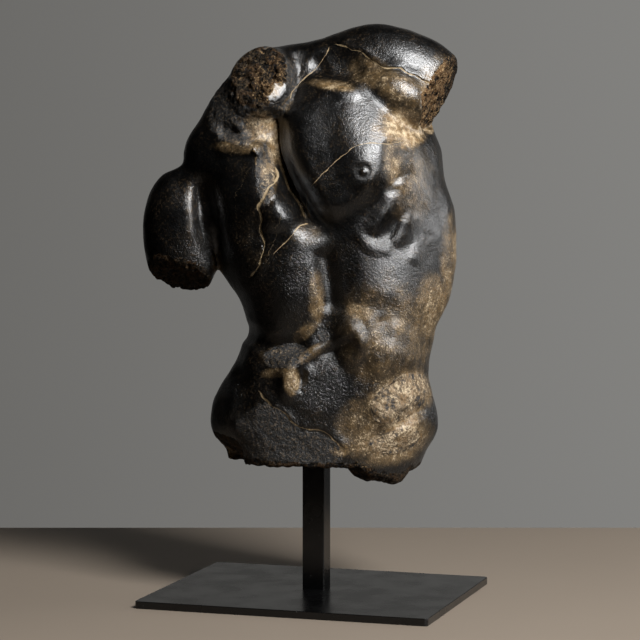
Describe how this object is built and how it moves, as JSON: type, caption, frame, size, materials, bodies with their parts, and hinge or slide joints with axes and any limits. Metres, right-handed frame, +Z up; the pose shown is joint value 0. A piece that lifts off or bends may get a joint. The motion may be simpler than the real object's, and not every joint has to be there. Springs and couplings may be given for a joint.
{
  "type": "resin torso sculpture",
  "caption": "Headless male torso fragment in dark patinated cast resin, with a broken arm stub, neck and thighs, on a square steel post and a flat rectangular steel base plate.",
  "frame": {"origin": "centre of the base plate's underside", "axes": "+Z up; +X along the base plate's long side; the torso faces about -Y, turned 17.7 degrees towards +X"},
  "size_m": [0.3775, 0.278, 0.6677],
  "materials": {
    "resin": "near-black waxed satin patina, sandy speckle, tan in the breaks and hollows",
    "stand_paint": "satin black paint"
  },
  "bodies": {
    "root": {"torso": "resin", "post": "stand_paint", "base_plate": "stand_paint"}
  },
  "joints": []
}
